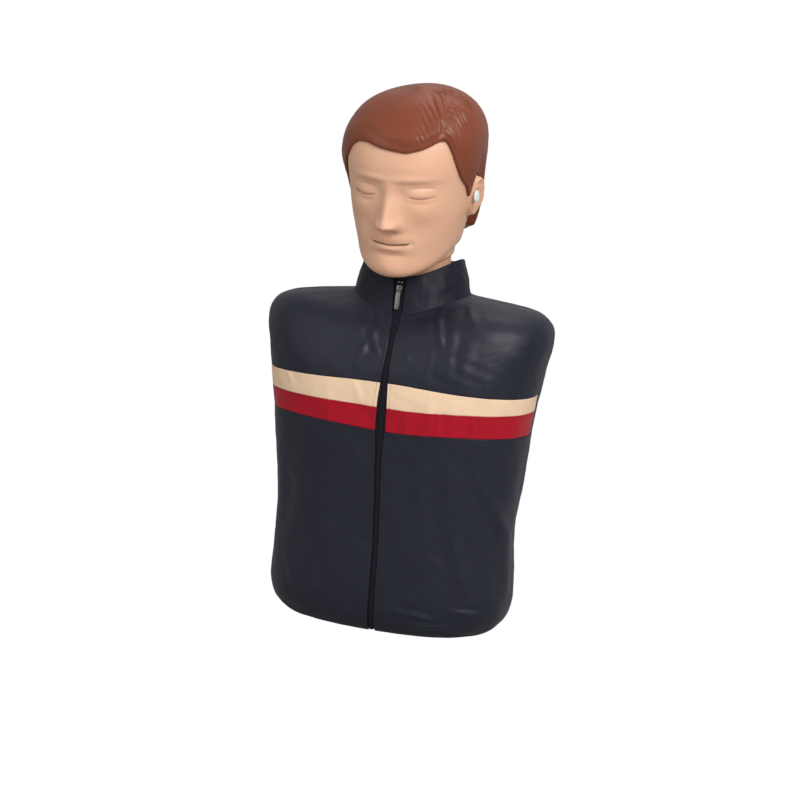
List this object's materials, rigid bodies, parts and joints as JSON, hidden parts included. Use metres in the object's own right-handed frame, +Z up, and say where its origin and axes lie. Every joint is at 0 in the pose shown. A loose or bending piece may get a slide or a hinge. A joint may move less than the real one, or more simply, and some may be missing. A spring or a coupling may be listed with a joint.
{
  "type": "cpr training manikin",
  "caption": "Half-body resuscitation training manikin with moulded hair, closed eyes and a zipped sleeveless striped jacket over a sprung chest.",
  "frame": {"origin": "middle of the flat base that the manikin stands on, below the neck's joint", "axes": "+Z up along the body, -Y out of the chest and face, +X towards the manikin's own left"},
  "size_m": [0.3746, 0.2338, 0.6941],
  "materials": {
    "base": "grey moulded plastic base",
    "shell": "rigid moulded plastic",
    "skin": "soft flesh-coloured vinyl, satin",
    "face": "soft flesh-coloured vinyl, satin, blushed lips",
    "hair": "moulded red-brown hair, satin",
    "frame": "dark grey moulded plastic",
    "white": "white moulded plastic",
    "steel": "plain steel",
    "spring": "spring steel",
    "airway": "translucent blue airway film",
    "jacket": "navy woven taffeta, slight sheen",
    "collar": "navy woven taffeta, doubled",
    "cream": "cream woven taffeta",
    "red": "crimson woven taffeta",
    "tape": "dark woven zip tape",
    "teeth": "dark coil zip teeth",
    "zip_metal": "nickel-plated zip hardware",
    "plug": "white plastic plug"
  },
  "bodies": {
    "torso": {"base_plate": "base", "back_shell": "shell", "chest_skin": "skin", "neck_bracket": "frame", "bracket_screws": "steel", "spring_barrel": "frame", "barrel_screws": "steel", "compression_spring": "spring", "click_dome": "spring", "airway_hose": "airway", "jacket_yoke_left": "jacket", "jacket_yoke_right": "jacket", "cream_stripe_left": "cream", "cream_stripe_right": "cream", "red_stripe_left": "red", "red_stripe_right": "red", "jacket_front_left": "jacket", "jacket_front_right": "jacket", "jacket_back": "jacket", "armhole_panel_left": "jacket", "armhole_panel_right": "jacket", "collar": "collar", "hem_band": "jacket", "zip_tape_left": "tape", "zip_tape_right": "tape", "zip_teeth_left": "teeth", "zip_teeth_right": "teeth", "zip_stops": "zip_metal"},
    "chest": {"plunger": "white", "chest_plate": "white", "plate_screws": "steel", "lung_bag": "airway"},
    "neck": {"neck_post": "white", "post_clip": "spring"},
    "head": {"tilt_pin": "steel", "skull_base": "shell", "skull": "shell", "mouth_tube": "airway", "throat_tube": "airway", "neck_skin": "skin", "face_skin": "face", "head_back_shell": "shell", "hair_cap": "hair", "ear_plug_left": "plug", "ear_plug_right": "plug"},
    "jaw": {"jaw": "shell"},
    "slider": {"zip_slider": "zip_metal"},
    "pull": {"zip_pull": "zip_metal"}
  },
  "joints": [
    {"name": "chest_press", "type": "slide", "parent": "torso", "child": "chest", "axis": [0, 1, 0], "range_m": [0, 0.05], "stiffness_N_per_m": 8800, "springref_m": -0.003, "deforming": ["compression_spring", "airway_hose"]},
    {"name": "neck_swivel", "type": "hinge", "parent": "torso", "child": "neck", "pos_m": [0, 0.005, 0.398], "axis": [0, 0, 1], "range_deg": [-25, 25]},
    {"name": "head_tilt", "type": "hinge", "parent": "neck", "child": "head", "pos_m": [0, 0.005, 0.432], "axis": [-0.9976, 0.0698, 0], "range_deg": [0, 30]},
    {"name": "jaw_open", "type": "hinge", "parent": "head", "child": "jaw", "pos_m": [0.00094, -0.0329, 0.56362], "axis": [0.9975, -0.0577, -0.0419], "range_deg": [0, 5], "stiffness_Nm_per_rad": 1, "springref_deg": -11.46},
    {"name": "zip_travel", "type": "slide", "parent": "torso", "child": "slider", "axis": [0, -0.1789, -0.9839], "range_m": [0, 0.005]},
    {"name": "pull_swing", "type": "hinge", "parent": "slider", "child": "pull", "pos_m": [0, -0.06377, 0.43923], "axis": [-1, 0, 0], "range_deg": [0, 100]}
  ]
}
